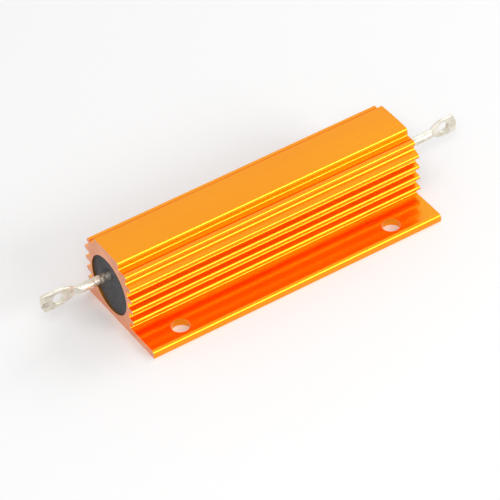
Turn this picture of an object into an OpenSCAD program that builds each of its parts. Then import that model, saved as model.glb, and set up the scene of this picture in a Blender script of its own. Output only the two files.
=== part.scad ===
// Aluminium housed wirewound power resistor.
// A ribbed, anodised extrusion holds a wire-wound ceramic rod in a round bore.
// X runs along the body, the mounting flange points to -Y and +Z is up.
// The origin is the middle of the mounting face, so the underside lies at z = 0.

/* [Housing] */
// Length of the sawn extrusion
housing_length = 90; // [76:1:130]
// How far the mounting flange stands out past the fins
flange_w = 9.4; // [7.5:0.1:14]
// Thickness of the mounting flange
flange_t = 2.2; // [1.6:0.1:2.8]
// Rounding of the flange's upper front edge
flange_edge_r = 1; // [0.2:0.1:1.2]

/* [Bore and walls] */
// Diameter of the bore that holds the resistance element
bore_d = 17.2; // [14:0.1:20]
// Wall between the bore and the mounting face
floor_t = 1.7; // [1:0.1:3]
// Wall between the bore and the bottoms of the grooves
side_wall_t = 0.85; // [0.6:0.05:2]
// Wall between the bore and the top of the panel
top_wall_t = 3.5; // [3:0.1:6]

/* [Top panel] */
// Width of the raised top panel
panel_w = 12.5; // [9:0.1:13]
// Height of the panel above the shoulders beside it
panel_rise = 2.4; // [1.6:0.1:2.8]
// Rounding of the panel's long edges
panel_edge_r = 1; // [0.3:0.1:1.2]
// How much higher the panel is in its middle than at its sides
panel_crown = 0.2; // [0.1:0.05:0.5]
// Fillet where the panel's sides meet the shoulders
panel_fillet_r = 0.4; // [0.1:0.1:0.6]

/* [Shoulders] */
// Thickness of the rounded bead along each shoulder's outer edge
bead_t = 1.4; // [0.8:0.1:1.8]
// How far the bead stands out past the bottoms of the side grooves
bead_out = 0.35; // [0:0.05:0.8]
// How much deeper than the side grooves the hollow under the bead is
hollow_depth = 0.35; // [0.1:0.05:0.8]
// Fillet between that hollow and the top fin
hollow_fillet_r = 0.8; // [0.3:0.1:1]
// Distance from the middle of the bead in to the score line
score_inset = 1; // [0.6:0.1:1.6]
// Width of the score line cut into each shoulder
score_w = 0.45; // [0.2:0.05:0.8]
// Depth of the score line
score_depth = 0.8; // [0.2:0.1:1]

/* [Side fins] */
// Number of fins on each side
fin_count = 4; // [2:1:4]
// How far a fin stands out past the bottoms of the grooves
fin_depth = 2; // [1.4:0.05:3]
// Thickness of a fin near the wall
fin_root_t = 1.6; // [1.4:0.1:2.2]
// Thickness of a fin at its rounded tip
fin_tip_t = 1.4; // [0.6:0.1:1.4]
// Distance from the shoulder down to the middle of the top fin
fin_top_drop = 4.05; // [3:0.05:4.5]
// Distance from the flange up to the middle of the lowest fin
fin_low_rise = 2.85; // [2.4:0.05:4]
// Angle at which the top fin's upper face falls away
top_fin_fall = 20; // [5:1:30]
// Fillets in the corners of the grooves between the fins
groove_fillet_r = 0.35; // [0.1:0.05:0.5]

/* [Mounting holes] */
// Diameter of the two holes in the flange
mount_hole_d = 5.2; // [3.5:0.1:6]
// Distance between the two holes
mount_hole_spacing = 66; // [30:1:78]
// Distance from the flange's front edge to the hole centres
mount_hole_edge = 4.55; // [3.6:0.05:5]
// How far the pair of holes is set off from the middle of the body
mount_hole_shift = -1; // [-2:0.5:2]

/* [Resistance element] */
// Diameter of the ceramic core
core_d = 9; // [6:0.1:9.6]
// Length of lead between a seal and its end cap
hidden_lead_length = 5; // [1:0.5:15]
// Sheet thickness of the pressed end caps
cap_t = 0.5; // [0.3:0.1:0.6]
// Length of an end cap along the core
cap_length = 6; // [4:0.5:9]
// Diameter of the resistance wire
wire_d = 0.8; // [0.4:0.1:1]
// Number of turns of resistance wire
wire_turns = 24; // [10:1:30]

/* [End seals] */
// Thickness of the moulded seal in each end of the bore
seal_t = 6; // [3:0.5:8]
// How far the seals lie below the sawn ends
seal_recess = 0.4; // [0.2:0.1:1]
// Widest diameter of the pit round each lead
pit_d = 4.4; // [3.4:0.1:5]
// Depth of the pit round each lead
pit_depth = 0.8; // [0.3:0.1:1.5]

/* [Terminals] */
// Diameter of the round lead
lead_d = 2.6; // [1.8:0.1:2.8]
// Width of the flattened eyelet lug
lug_w = 5.6; // [4.8:0.1:7]
// Thickness of the lug
lug_t = 1; // [0.6:0.1:1.4]
// How far behind the lead's axis the lug's front face lies
lug_front = 0; // [-0.2:0.05:0.2]
// Diameter of the hole in the lug
lug_hole_d = 3.1; // [2:0.1:3.4]
// How far above the lead's axis the right lug's hole is pierced
right_hole_up = 0.3; // [0:0.1:0.5]
// Length of the slope where the left lead is pressed down to the lug's thickness
left_press_run = 1.6; // [0.3:0.1:2]
// Length of the slope where the right lead is pressed down to the lug's thickness
right_press_run = 0.8; // [0.3:0.1:2]
// Distance from the sawn left end to the left lug's hole
left_reach = 14.3; // [12:0.1:24]
// Distance from the sawn right end to the right lug's hole
right_reach = 15.6; // [12:0.1:24]
// Distance from the left lug's hole back to where it is fully flat
left_neck = 5; // [3:0.1:6]
// Distance from the right lug's hole back to where it is fully flat
right_neck = 3.6; // [3:0.1:6]
// Distance from the left lug's hole to its sheared end
left_tip = 4.8; // [3.4:0.1:7]
// Distance from the right lug's hole to its sheared end
right_tip = 4.4; // [3.4:0.1:7]
// How far behind the bore's axis the left lead lies
left_back = 1.5; // [0:0.1:1.8]
// How far above the bore's axis the left lead lies
left_up = 1.9; // [0:0.1:2]
// How far above the bore's axis the right lead lies
right_up = 0.3; // [0:0.1:2]
// How much the shears shortened the left lug's lower corner
left_clip_length = 0.9; // [0.2:0.1:1.5]
// How far up its end the left lug's clipped corner reaches
left_clip_height = 1.6; // [0.2:0.1:3.5]
// How much the shears shortened the right lug's upper corner
right_clip_length = 1; // [0.2:0.1:1.5]
// How far down its end the right lug's clipped corner reaches
right_clip_height = 2.6; // [0.2:0.1:3.5]

/* [Hidden] */

$fn = 64;
// Facets of the wide arc of the crowned panel
crown_fn = 720;
// Overlap that makes a cutter pass right through what it cuts
cut = 1;
// How deep a fillet sits in what it joins
seat = 0.2;

LEFT = -1;
RIGHT = 1;

bore_z = floor_t + bore_d / 2;
housing_h = bore_z + bore_d / 2 + top_wall_t;
shoulder_z = housing_h - panel_rise;
top_fin_z = shoulder_z - fin_top_drop;
fin_pitch = (top_fin_z - flange_t - fin_low_rise) / (fin_count - 1);
// Half widths of the body: bottoms of its grooves, over its fins, and above the fins
wall_y = bore_d / 2 + side_wall_t;
fins_y = wall_y + fin_depth;
hollow_y = wall_y - hollow_depth;
bead_r = bead_t / 2;
bead_y = wall_y + bead_out - bead_r;
score_y = bead_y - score_inset;
// Where the top fin's falling face leaves its round tip, and where it meets the hollow
fin_tip_r = fin_tip_t / 2;
top_fin_brow = [fins_y - fin_tip_r, top_fin_z] + fin_tip_r * [sin(top_fin_fall), cos(top_fin_fall)];
hollow_foot = [hollow_y, top_fin_brow[1] + (top_fin_brow[0] - hollow_y) * tan(top_fin_fall)];
base_w = 2 * fins_y + flange_w;
// The extrusion is symmetric about the bore, apart from its flange
axis_y = base_w / 2 - fins_y;
crown_r = (pow(panel_w / 2, 2) + pow(panel_crown, 2)) / (2 * panel_crown);

seal_face_x = housing_length / 2 - seal_recess;
seal_back_x = seal_face_x - seal_t;
cap_r = core_d / 2 + cap_t;
cap_face_x = seal_back_x - hidden_lead_length;
cap_rim_x = cap_face_x - cap_length;
core_end_x = cap_face_x - cap_t;

// Clearance that keeps the wire's facets off the core, the caps and the compound
wire_clearance = 0.05;
wire_path_r = core_d / 2 + wire_d / 2 + wire_clearance;
wire_outer_r = wire_path_r + wire_d / 2 + wire_clearance;
wire_end_x = cap_rim_x - wire_d / 2 - wire_clearance;
wire_steps_per_turn = 20;
wire_sides = 6;

// Number of straight steps along each curved flank of a lug
lug_curve_steps = 12;
// What the shears took off each lug's corner, along the lug and across it
left_clip = [left_clip_length, left_clip_height];
right_clip = [right_clip_length, right_clip_height];

// ---------- Housing ----------

// Fillet between an upright face at x = 0 and a face that falls away along +x from the origin
module fillet(r, fall = 0) {
    centre = [r, r / cos(fall) - r * tan(fall)];
    foot = centre - r * [sin(fall), cos(fall)];
    difference() {
        polygon([[-seat, -seat], [foot[0], foot[1] - seat], foot, centre, [-seat, centre[1]]]);
        translate(centre) circle(r);
    }
}

// One fin, pointing along +x of the section from the bottoms of the grooves
module fin_section() {
    tip_x = fin_depth - fin_tip_r;
    // The fin reaches into the wall, so that the two join as one, and tapers past the fillets
    polygon([
        [-fin_depth, -fin_root_t / 2],
        [groove_fillet_r, -fin_root_t / 2],
        [tip_x, -fin_tip_r],
        [tip_x, fin_tip_r],
        [groove_fillet_r, fin_root_t / 2],
        [-fin_depth, fin_root_t / 2]
    ]);
    translate([tip_x, 0]) circle(fin_tip_r);
}

// Raised panel with rounded long edges and a slight crown, seated deep in the body
module panel_section() {
    flat_w = panel_w - 2 * panel_edge_r;
    intersection() {
        translate([0, housing_h - crown_r]) circle(crown_r, $fn = crown_fn);
        union() {
            translate([-panel_w / 2, bore_z])
                square([panel_w, housing_h - panel_edge_r - bore_z]);
            translate([-flat_w / 2, bore_z]) square([flat_w, housing_h - bore_z]);
            for (side = [LEFT, RIGHT])
                translate([side * flat_w / 2, housing_h - panel_edge_r]) circle(panel_edge_r);
        }
    }
}

// Fins, bead and fillets of the +x side
module side_details_section() {
    translate([bead_y, shoulder_z - bead_r]) circle(bead_r);
    translate([panel_w / 2, shoulder_z]) fillet(panel_fillet_r);
    translate(hollow_foot) fillet(hollow_fillet_r, top_fin_fall);
    translate([wall_y, flange_t]) fillet(groove_fillet_r);
    for (i = [0 : fin_count - 1])
        translate([wall_y, top_fin_z - i * fin_pitch]) {
            fin_section();
            translate([0, -fin_root_t / 2]) rotate(-90) fillet(groove_fillet_r);
            if (i > 0) translate([0, fin_root_t / 2]) fillet(groove_fillet_r);
        }
}

// The symmetric body, centred on the bore's axis
module body_section() {
    half = [
        [fins_y, 0],
        [fins_y, flange_t],
        [wall_y, flange_t],
        [wall_y, top_fin_z],
        top_fin_brow,
        hollow_foot,
        [hollow_y, shoulder_z - bead_r],
        [bead_y, shoulder_z],
        [score_y + score_w / 2, shoulder_z],
        [score_y, shoulder_z - score_depth],
        [score_y - score_w / 2, shoulder_z],
        [panel_w / 2, shoulder_z]
    ];
    other_half = [for (i = [len(half) - 1 : -1 : 0]) [-half[i][0], half[i][1]]];
    polygon(concat(half, other_half));
    side_details_section();
    mirror([1, 0]) side_details_section();
    panel_section();
}

// Flange with a rounded upper front edge
module flange_section() {
    front_y = -base_w / 2;
    translate([front_y, 0]) square([base_w / 2, flange_t - flange_edge_r]);
    translate([front_y + flange_edge_r, 0]) square([base_w / 2, flange_t]);
    intersection() {
        translate([front_y, 0]) square([2 * flange_edge_r, flange_t]);
        translate([front_y + flange_edge_r, flange_t - flange_edge_r]) circle(flange_edge_r);
    }
}

// The extrusion's cross-section, seen along +X
module housing_section() {
    difference() {
        union() {
            translate([axis_y, 0]) body_section();
            flange_section();
        }
        translate([axis_y, bore_z]) circle(bore_d / 2);
    }
}

module housing() {
    hole_y = mount_hole_edge - base_w / 2;
    color("orange")
        difference() {
            translate([-housing_length / 2, 0, 0])
                rotate([90, 0, 90]) linear_extrude(housing_length) housing_section();
            for (side = [LEFT, RIGHT])
                translate([mount_hole_shift + side * mount_hole_spacing / 2, hole_y, -cut])
                    cylinder(h = flange_t + 2 * cut, d = mount_hole_d);
        }
}

// ---------- Terminals ----------

// Cylinder about the bore's axis, from one x to another
module bore_cylinder(from_x, to_x, r) {
    translate([from_x, axis_y, bore_z]) rotate([0, 90, 0]) cylinder(h = to_x - from_x, r = r);
}

// Places a terminal's own frame: origin at the sawn end, +X outward along the lead
module at_exit(side) {
    back = side == LEFT ? left_back : 0;
    up = side == LEFT ? left_up : right_up;
    translate([side * housing_length / 2, axis_y + back, bore_z + up])
        mirror([side == LEFT ? 1 : 0, 0, 0])
            children();
}

// Straight round lead, from the end cap's face outward
module lead_rod(out_l) {
    in_l = housing_length / 2 - cap_face_x;
    translate([-in_l, 0, 0]) rotate([0, 90, 0]) cylinder(h = in_l + out_l, d = lead_d);
}

// Flat outline of a lug in its x-z plane, with the larger clipped corner downward
module lug_outline(reach, neck, tip, clip) {
    neck_x = reach - neck;
    end_x = reach + tip;
    // Each flank widens from the lead to the lug's full width beside the hole
    flank = [
        for (i = [0 : lug_curve_steps])
            let (t = i / lug_curve_steps)
                [neck_x + t * neck, lead_d / 2 + (lug_w - lead_d) / 2 * sin(90 * t)]
    ];
    lower_flank = [for (i = [lug_curve_steps : -1 : 0]) [flank[i][0], -flank[i][1]]];
    sheared_end = [
        [end_x - clip[0] / 2, lug_w / 2],
        [end_x, lug_w / 2 - clip[0] / 2],
        [end_x, -lug_w / 2 + clip[1]],
        [end_x - clip[0], -lug_w / 2]
    ];
    polygon(concat(flank, sheared_end, lower_flank));
}

// A lead whose outer end was pressed flat, mostly from the front, then pierced
module terminal_blank(reach, neck, press_run, tip, hole_up, clip, clip_up) {
    neck_x = reach - neck;
    lead_r = lead_d / 2;
    lug_back = lug_front + lug_t;
    // Seen from above: full depth as far as the press run, then the lug's thickness
    depth = [
        [neck_x - housing_length, -lead_r],
        [neck_x - press_run, -lead_r],
        [neck_x, lug_front],
        [neck_x + press_run, lug_front],
        [neck_x + press_run, lug_back],
        [neck_x, lug_back],
        [neck_x - press_run, lead_r],
        [neck_x - housing_length, lead_r]
    ];
    difference() {
        union() {
            translate([0, lug_back, 0])
                rotate([90, 0, 0])
                    linear_extrude(lug_t)
                        mirror([0, clip_up ? 1 : 0]) lug_outline(reach, neck, tip, clip);
            intersection() {
                lead_rod(neck_x + press_run);
                translate([0, 0, -lead_d]) linear_extrude(2 * lead_d) polygon(depth);
            }
        }
        translate([reach, lug_back + cut, hole_up])
            rotate([90, 0, 0]) cylinder(h = lug_t + 2 * cut, d = lug_hole_d);
    }
}

module terminal_left() {
    color("antiquewhite")
        at_exit(LEFT)
            terminal_blank(
                left_reach, left_neck, left_press_run, left_tip,
                hole_up = 0, clip = left_clip, clip_up = false
            );
}

module terminal_right() {
    color("antiquewhite")
        at_exit(RIGHT)
            terminal_blank(
                right_reach, right_neck, right_press_run, right_tip,
                hole_up = right_hole_up, clip = right_clip, clip_up = true
            );
}

// ---------- End seals ----------

module end_seal(side) {
    near_x = side == LEFT ? -seal_face_x : seal_back_x;
    color("dimgray")
        difference() {
            bore_cylinder(near_x, near_x + seal_t, bore_d / 2);
            at_exit(side) lead_rod(cut);
            // Pit round the lead
            at_exit(side)
                translate([-seal_recess - pit_depth, 0, 0])
                    rotate([0, 90, 0])
                        cylinder(h = 2 * pit_depth, d1 = lead_d, d2 = 2 * pit_d - lead_d);
        }
}

module end_seal_left() {
    end_seal(LEFT);
}

module end_seal_right() {
    end_seal(RIGHT);
}

// ---------- Resistance element ----------

module ceramic_core() {
    color("ivory") bore_cylinder(-core_end_x, core_end_x, core_d / 2);
}

// Pressed cup over one end of the core
module end_cap(side) {
    near_x = side == LEFT ? -cap_face_x : cap_rim_x;
    color("lightgray")
        difference() {
            bore_cylinder(near_x, near_x + cap_length, cap_r);
            bore_cylinder(-core_end_x, core_end_x, core_d / 2);
        }
}

module end_cap_left() {
    end_cap(LEFT);
}

module end_cap_right() {
    end_cap(RIGHT);
}

// One corner of the wire: step i along the helix, corner j round its section
function wire_point(i, j, steps) =
    let (
        turn = 360 * i / wire_steps_per_turn,
        round = 360 * j / wire_sides,
        x = -wire_end_x + 2 * wire_end_x * i / steps + wire_d / 2 * cos(round),
        r = wire_path_r + wire_d / 2 * sin(round)
    )
    [x, r * cos(turn), r * sin(turn)];

module resistance_winding() {
    steps = wire_turns * wire_steps_per_turn;
    points = [
        for (i = [0 : steps])
            for (j = [0 : wire_sides - 1])
                wire_point(i, j, steps)
    ];
    // Two triangles for each side of each step, and a flat face at each end
    skin = [
        for (i = [0 : steps - 1])
            for (j = [0 : wire_sides - 1])
                let (
                    next = (j + 1) % wire_sides,
                    a = i * wire_sides + j,
                    b = i * wire_sides + next,
                    c = a + wire_sides,
                    d = b + wire_sides
                )
                each [[a, b, d], [a, d, c]]
    ];
    first_end = [[for (j = [wire_sides - 1 : -1 : 0]) j]];
    last_end = [[for (j = [0 : wire_sides - 1]) steps * wire_sides + j]];
    color("darkgray")
        translate([0, axis_y, bore_z])
            polyhedron(points, concat(skin, first_end, last_end));
}

// Filling between the seals, round the wound core
module potting_compound() {
    color("lightyellow")
        difference() {
            bore_cylinder(-seal_back_x, seal_back_x, bore_d / 2);
            bore_cylinder(-cap_face_x, cap_face_x, cap_r);
            bore_cylinder(-cap_rim_x, cap_rim_x, wire_outer_r);
            for (side = [LEFT, RIGHT]) at_exit(side) lead_rod(0);
        }
}

housing();
end_seal_left();
end_seal_right();
terminal_left();
terminal_right();
end_cap_left();
end_cap_right();
ceramic_core();
resistance_winding();
potting_compound();
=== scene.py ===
import math

import bmesh
import bpy
from mathutils import Matrix, Vector, noise

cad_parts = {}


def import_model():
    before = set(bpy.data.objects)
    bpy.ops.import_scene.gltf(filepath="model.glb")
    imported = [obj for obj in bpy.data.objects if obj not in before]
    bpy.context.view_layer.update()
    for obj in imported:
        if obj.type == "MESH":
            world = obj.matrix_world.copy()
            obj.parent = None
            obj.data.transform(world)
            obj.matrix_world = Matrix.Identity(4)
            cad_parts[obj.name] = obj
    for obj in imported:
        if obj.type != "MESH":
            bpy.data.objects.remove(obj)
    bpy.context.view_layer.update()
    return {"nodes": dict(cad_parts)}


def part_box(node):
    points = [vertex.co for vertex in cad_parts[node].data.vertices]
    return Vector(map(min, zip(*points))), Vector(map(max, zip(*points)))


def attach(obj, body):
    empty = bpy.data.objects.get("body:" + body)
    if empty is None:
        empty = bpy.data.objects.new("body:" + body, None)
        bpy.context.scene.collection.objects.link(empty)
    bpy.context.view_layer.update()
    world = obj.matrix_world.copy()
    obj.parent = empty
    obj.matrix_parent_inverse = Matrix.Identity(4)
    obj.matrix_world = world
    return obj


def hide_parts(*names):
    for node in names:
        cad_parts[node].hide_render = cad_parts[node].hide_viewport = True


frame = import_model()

MM = 0.001

# ---------- Sizes from the frame ----------

body_lo, body_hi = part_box("housing")
HALF_L = body_hi.x
BODY_H = body_hi.z
seal_lo, seal_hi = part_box("end_seal_right")
BORE_R = (seal_hi.z - seal_lo.z) / 2
AXIS = Vector((0, (seal_lo.y + seal_hi.y) / 2, (seal_lo.z + seal_hi.z) / 2))
SEAL_FACE = seal_hi.x
SEAL_BACK = seal_lo.x


class Lead:
    """Where a terminal's lead runs, from its CAD box. side is -1 at the left end, 1 at the right."""

    def __init__(self, side, node):
        lo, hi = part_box(node)
        self.side = side
        self.y = (lo.y + hi.y) / 2
        self.z = (lo.z + hi.z) / 2
        self.r = (hi.y - lo.y) / 2


LEFT = Lead(-1, "terminal_left")
RIGHT = Lead(1, "terminal_right")

# ---------- Node helpers ----------

class Nodes:
    """Builds one material, node by node. Its patterns lie in the object's own space."""

    def __init__(self, name):
        self.material = bpy.data.materials.new(name)
        self.material.use_nodes = True
        self.tree = self.material.node_tree
        self.tree.nodes.clear()
        self.coords = self.add("ShaderNodeTexCoord")

    def add(self, kind, inputs=None, **settings):
        node = self.tree.nodes.new(kind)
        for key, value in settings.items():
            setattr(node, key, value)
        for key, value in (inputs or {}).items():
            self.put(node.inputs[key], value)
        return node

    def put(self, socket, value):
        if isinstance(value, bpy.types.NodeSocket):
            self.tree.links.new(value, socket)
        else:
            socket.default_value = value

    def noise(self, scale, detail=3.0, rough=0.5, stretch=(1, 1, 1)):
        """Noise in object space. scale counts features per metre; a small stretch draws them out."""
        mapping = self.add("ShaderNodeMapping", {
            "Vector": self.coords.outputs["Object"], "Scale": stretch})
        tex = self.add("ShaderNodeTexNoise", {
            "Vector": mapping.outputs[0], "Scale": scale, "Detail": detail, "Roughness": rough})
        return tex.outputs[0]

    def ramp(self, value, from_lo, from_hi, to_lo=0.0, to_hi=1.0):
        node = self.add("ShaderNodeMapRange", {
            0: value, 1: from_lo, 2: from_hi, 3: to_lo, 4: to_hi}, clamp=True)
        return node.outputs[0]

    def math(self, operation, a, b=0.0):
        return self.add("ShaderNodeMath", {0: a, 1: b}, operation=operation).outputs[0]

    def mix(self, factor, a, b):
        node = self.add("ShaderNodeMix", data_type="RGBA")
        self.put(node.inputs[0], factor)
        self.put(node.inputs[6], a)
        self.put(node.inputs[7], b)
        return node.outputs[2]

    def bump(self, height, distance, strength):
        inputs = {"Height": height, "Distance": distance, "Strength": strength}
        return self.add("ShaderNodeBump", inputs).outputs[0]

    def shader(self, **inputs):
        node = self.add("ShaderNodeBsdfPrincipled")
        for key, value in inputs.items():
            self.put(node.inputs[key.replace("_", " ")], value)
        out = self.add("ShaderNodeOutputMaterial")
        self.tree.links.new(node.outputs[0], out.inputs[0])
        return self.material


def rgb(r, g, b):
    """An sRGB colour, 0 to 255, as a linear one."""
    def linear(c):
        c /= 255
        return c / 12.92 if c <= 0.04045 else ((c + 0.055) / 1.055) ** 2.4
    return (linear(r), linear(g), linear(b), 1)


# ---------- Materials ----------

def gold_anodised():
    """Gold with faint lines along the extrusion, and a duller, paler finish on its two sawn ends."""
    n = Nodes("gold_anodised")
    position = n.add("ShaderNodeSeparateXYZ", {0: n.coords.outputs["Object"]})
    sawn_from = HALF_L - 0.06 * MM
    sawn_full = HALF_L - 0.02 * MM
    end = n.ramp(n.math("ABSOLUTE", position.outputs[0]), sawn_from, sawn_full)
    lines = n.noise(1500, 2, 0.6, (0.004, 1, 1))
    broad = n.noise(60, 3, 0.5, (0.3, 1, 1))
    gold = n.mix(n.ramp(broad, 0.3, 0.7), rgb(248, 153, 6), rgb(248, 160, 9))
    saw = n.noise(900, 3, 0.6, (1, 1, 0.08))
    mottle = n.noise(250, 4, 0.6)
    sawn = n.mix(n.ramp(mottle, 0.35, 0.65), rgb(230, 148, 106), rgb(243, 166, 122))
    rough = n.mix(end, n.ramp(lines, 0.3, 0.7, 0.2, 0.28), n.ramp(saw, 0.3, 0.7, 0.5, 0.62))
    height = n.mix(end, lines, saw)
    return n.shader(
        Base_Color=n.mix(end, gold, sawn),
        Metallic=n.ramp(end, 0, 1, 1, 0.35),
        Coat_Weight=0.35,
        Coat_Roughness=0.1,
        Roughness=rough,
        Normal=n.bump(height, 0.01 * MM, 0.6),
    )


def black_sealant():
    """Matt black resin with paler grains."""
    n = Nodes("black_sealant")
    grain = n.noise(3500, 3, 0.7)
    patches = n.noise(350, 4, 0.6)
    colour = n.mix(n.ramp(patches, 0.3, 0.7), rgb(46, 48, 52), rgb(66, 68, 72))
    colour = n.mix(n.ramp(grain, 0.55, 0.75), colour, rgb(104, 106, 108))
    return n.shader(
        Base_Color=colour,
        Roughness=n.ramp(grain, 0.3, 0.7, 0.55, 0.75),
        Normal=n.bump(grain, 0.06 * MM, 0.8),
    )


def tinned():
    """Bright tin with dull blotches and dark streaks along the lead."""
    n = Nodes("tinned_lead")
    streak = n.noise(900, 4, 0.6, (0.15, 1, 1))
    blotch = n.noise(500, 4, 0.6)
    colour = n.mix(n.ramp(blotch, 0.35, 0.65), rgb(214, 208, 192), rgb(240, 236, 224))
    colour = n.mix(n.ramp(streak, 0.62, 0.75), colour, rgb(150, 140, 120))
    return n.shader(
        Base_Color=colour,
        Metallic=1.0,
        Roughness=n.ramp(blotch, 0.3, 0.7, 0.26, 0.4),
        Normal=n.bump(blotch, 0.05 * MM, 0.7),
    )


def plain(name, low, high, scale, rough, metallic=0.0):
    """A quiet finish for the pieces inside, which no view shows."""
    n = Nodes(name)
    tone = n.noise(scale)
    return n.shader(
        Base_Color=n.mix(n.ramp(tone, 0.35, 0.65), low, high),
        Metallic=metallic,
        Roughness=n.ramp(tone, 0.3, 0.7, rough, rough + 0.12),
        Normal=n.bump(tone, 0.02 * MM, 0.5),
    )


GOLD = gold_anodised()
BLACK = black_sealant()
TIN = tinned()
CAPS = plain("cap_steel", rgb(170, 170, 168), rgb(196, 196, 192), 800, 0.3, 1.0)
CERAMIC = plain("ceramic", rgb(228, 224, 212), rgb(240, 237, 228), 1500, 0.6)
WIRE = plain("resistance_wire", rgb(120, 114, 106), rgb(146, 140, 130), 1200, 0.35, 1.0)
FILLING = plain("filling", rgb(196, 188, 168), rgb(216, 208, 190), 2500, 0.8)

for node, material in {
    "housing": GOLD, "end_seal_left": BLACK, "end_seal_right": BLACK,
    "terminal_left": TIN, "terminal_right": TIN, "end_cap_left": CAPS, "end_cap_right": CAPS,
    "ceramic_core": CERAMIC, "resistance_winding": WIRE, "potting_compound": FILLING,
}.items():
    mesh = frame["nodes"][node].data
    mesh.materials.clear()
    mesh.materials.append(material)

# ---------- Pieces ----------

def fractal(point, scale, octaves):
    """Fractal noise, about -1 to 1, with scale features per millimetre."""
    return noise.fractal(point * (scale / MM), 0.9, 2.0, octaves)


def smooth_step(lo, hi, value):
    """0 at lo, 1 at hi, with a level start and end."""
    t = min(1, max(0, (value - lo) / (hi - lo)))
    return t * t * (3 - 2 * t)


def add_piece(name, mesh, material, slot, *nodes):
    """Puts a mesh into the scene as a piece that stands in for the CAD nodes named."""
    for face in mesh.polygons:
        face.use_smooth = True
    mesh.materials.clear()
    mesh.materials.append(material)
    obj = bpy.data.objects.new(name, mesh)
    bpy.context.scene.collection.objects.link(obj)
    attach(obj, "root")
    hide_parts(*nodes)
    return obj


def seal(lead, name, node):
    """Cast sealant: a meniscus at the wall, slumped lobes and a pit round the lead."""
    rings, spokes = 70, 220
    meniscus, meniscus_reach = 0.34 * MM, 0.7 * MM
    slump, lobes = 0.16 * MM, 0.07 * MM
    pit, pit_reach = 0.75 * MM, 0.7 * MM
    seed = Vector((0, 0, 40 * lead.side))
    bm = bmesh.new()
    lead_at = Vector((0, lead.y - AXIS.y, lead.z - AXIS.z))

    def height(p):
        """How far the surface lies below the highest level, in metres."""
        wall = BORE_R - p.length
        to_lead = (p - lead_at).length - lead.r
        depth = meniscus * (1 - math.exp(-wall / meniscus_reach))
        depth += slump * (1 + fractal(p + seed * MM, 0.22, 2))
        depth += lobes * fractal(p + seed * MM, 1.1, 3)
        depth += pit * math.exp(-max(0, to_lead) / pit_reach)
        return max(0, depth)

    loops = []
    for i in range(rings + 1):
        t = i / rings
        loop = []
        for j in range(spokes):
            a = 2 * math.pi * j / spokes
            out = Vector((0, math.cos(a), math.sin(a)))
            inner = lead_at + lead.r * out
            p = inner.lerp(BORE_R * out, t)
            x = SEAL_FACE - height(p)
            loop.append(bm.verts.new((lead.side * x, AXIS.y + p.y, AXIS.z + p.z)))
        loops.append(loop)
    back_outer = [bm.verts.new((lead.side * SEAL_BACK, v.co.y, v.co.z)) for v in loops[-1]]
    back_inner = [bm.verts.new((lead.side * SEAL_BACK, v.co.y, v.co.z)) for v in loops[0]]
    loops = [back_inner] + loops + [back_outer]
    for ring, after in zip(loops, loops[1:] + loops[:1]):
        for j in range(spokes):
            k = (j + 1) % spokes
            bm.faces.new((ring[j], after[j], after[k], ring[k]))
    bmesh.ops.recalc_face_normals(bm, faces=bm.faces)
    mesh = bpy.data.meshes.new(name)
    bm.to_mesh(mesh)
    bm.free()
    return add_piece(name, mesh, BLACK, "black_sealant", node)


def terminal(lead, name, node):
    """The CAD's terminal with its sharp edges pressed round, and the uneven skin of hot tinning."""
    voxel = 0.11 * MM
    blobs, grain, sink = 0.05 * MM, 0.02 * MM, 0.03 * MM
    skin_run = 1 * MM
    source = frame["nodes"][node].data.copy()
    obj = bpy.data.objects.new(name + "_form", source)
    bpy.context.scene.collection.objects.link(obj)
    bm = bmesh.new()
    bm.from_mesh(source)
    bmesh.ops.remove_doubles(bm, verts=bm.verts, dist=1e-6)
    bm.to_mesh(source)
    bm.free()
    remesh = obj.modifiers.new("remesh", "REMESH")
    remesh.mode = "VOXEL"
    remesh.voxel_size = voxel
    smooth = obj.modifiers.new("smooth", "SMOOTH")
    smooth.factor = 0.5
    smooth.iterations = 5
    graph = bpy.context.evaluated_depsgraph_get()
    mesh = bpy.data.meshes.new_from_object(obj.evaluated_get(graph))
    bpy.data.objects.remove(obj)
    mesh.name = name
    bm = bmesh.new()
    bm.from_mesh(mesh)
    bm.normal_update()
    lo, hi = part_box(node)
    moves = []
    for v in bm.verts:
        p = v.co
        lift = blobs * fractal(p, 0.8, 3) + grain * fractal(p, 3.0, 2)
        shown = smooth_step(HALF_L - skin_run, HALF_L, abs(p.x))
        moves.append(v.normal * (lift - sink) * shown)
    for v, move in zip(bm.verts, moves):
        v.co += move
        v.co = Vector([min(max(c, a), b) for c, a, b in zip(v.co, lo, hi)])
    bm.to_mesh(mesh)
    bm.free()
    return add_piece(name, mesh, TIN, "tinned_lead", node)


seal(LEFT, "left_sealant", "end_seal_left")
seal(RIGHT, "right_sealant", "end_seal_right")
terminal(LEFT, "left_lug_terminal", "terminal_left")
terminal(RIGHT, "right_lug_terminal", "terminal_right")

# ---------- Floor, light and camera ----------

LAMP_AIM = Vector((0, 0, BODY_H / 4))
FLOOR_REACH = 3.0


def floor():
    bm = bmesh.new()
    for x, y in ((-1, -1), (1, -1), (1, 1), (-1, 1)):
        bm.verts.new((x * FLOOR_REACH, y * FLOOR_REACH, 0))
    bm.faces.new(bm.verts)
    mesh = bpy.data.meshes.new("floor")
    bm.to_mesh(mesh)
    bm.free()
    n = Nodes("floor")
    tone = n.noise(3, 2)
    n.shader(Base_Color=n.mix(tone, rgb(250, 250, 250), rgb(252, 252, 252)), Roughness=0.9)
    mesh.materials.append(n.material)
    obj = bpy.data.objects.new("floor", mesh)
    bpy.context.scene.collection.objects.link(obj)


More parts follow.
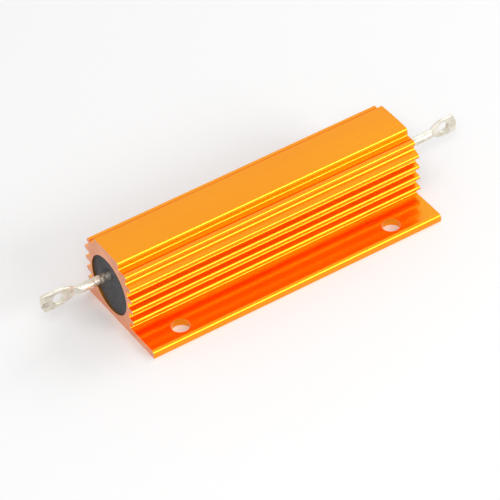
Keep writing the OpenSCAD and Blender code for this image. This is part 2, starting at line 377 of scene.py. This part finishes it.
def lamp(name, place, size, power):
    """A rectangular lamp, turned to the object. Place and size are in metres, power in watts."""
    light = bpy.data.lights.new(name, "AREA")
    light.shape = "RECTANGLE"
    light.size, light.size_y = size
    light.energy = power
    obj = bpy.data.objects.new(name, light)
    obj.location = place
    obj.rotation_euler = (LAMP_AIM - Vector(place)).to_track_quat("-Z", "Y").to_euler()
    bpy.context.scene.collection.objects.link(obj)


def world():
    """White all round, weaker as a light than where it is seen or mirrored."""
    as_light, as_seen = 0.6, 1.0
    w = bpy.data.worlds.new("studio")
    w.use_nodes = True
    tree = w.node_tree
    tree.nodes.clear()
    path = tree.nodes.new("ShaderNodeLightPath")
    add = tree.nodes.new("ShaderNodeMath")
    add.operation = "MAXIMUM"
    tree.links.new(path.outputs["Is Camera Ray"], add.inputs[0])
    tree.links.new(path.outputs["Is Glossy Ray"], add.inputs[1])
    strength = tree.nodes.new("ShaderNodeMapRange")
    tree.links.new(add.outputs[0], strength.inputs[0])
    strength.inputs[3].default_value = as_light
    strength.inputs[4].default_value = as_seen
    background = tree.nodes.new("ShaderNodeBackground")
    tree.links.new(strength.outputs[0], background.inputs[1])
    background.inputs[0].default_value = (1, 1, 1, 1)
    out = tree.nodes.new("ShaderNodeOutputWorld")
    tree.links.new(background.outputs[0], out.inputs[0])
    bpy.context.scene.world = w


def camera():
    """The photo's own view: from the front left, looking down, with a slight roll."""
    azimuth, elevation, roll = (math.radians(a) for a in (29.75, 41.46, -4.56))
    distance = 0.9
    focal_length = 246.34
    aim = Vector((-5.3, -0.55, 5.2)) * MM
    level = Vector((math.cos(azimuth), -math.sin(azimuth), 0))
    forward = Vector((
        math.sin(azimuth) * math.cos(elevation),
        math.cos(azimuth) * math.cos(elevation),
        -math.sin(elevation),
    ))
    upright = level.cross(forward)
    right = math.cos(roll) * level + math.sin(roll) * upright
    up = right.cross(forward)
    cam = bpy.data.cameras.new("camera")
    cam.lens = focal_length
    cam.clip_start = 0.01
    obj = bpy.data.objects.new("camera", cam)
    turn = Matrix((right, up, -forward)).transposed()
    obj.matrix_world = Matrix.Translation(aim - forward * distance) @ turn.to_4x4()
    bpy.context.scene.collection.objects.link(obj)
    bpy.context.scene.camera = obj


floor()
world()
# The long softbox that the rounded edges mirror: in front, to the right, as high as the camera
lamp("softbox", (0.40, -0.87, 0.505), (0.55, 0.3), 3.4)
lamp("key", (-0.45, -0.75, 1.0), (0.5, 0.5), 4)
lamp("fill", (0.9, 0.3, 0.8), (0.6, 0.6), 3)
camera()

view = bpy.context.scene.view_settings
view.view_transform = "Standard"
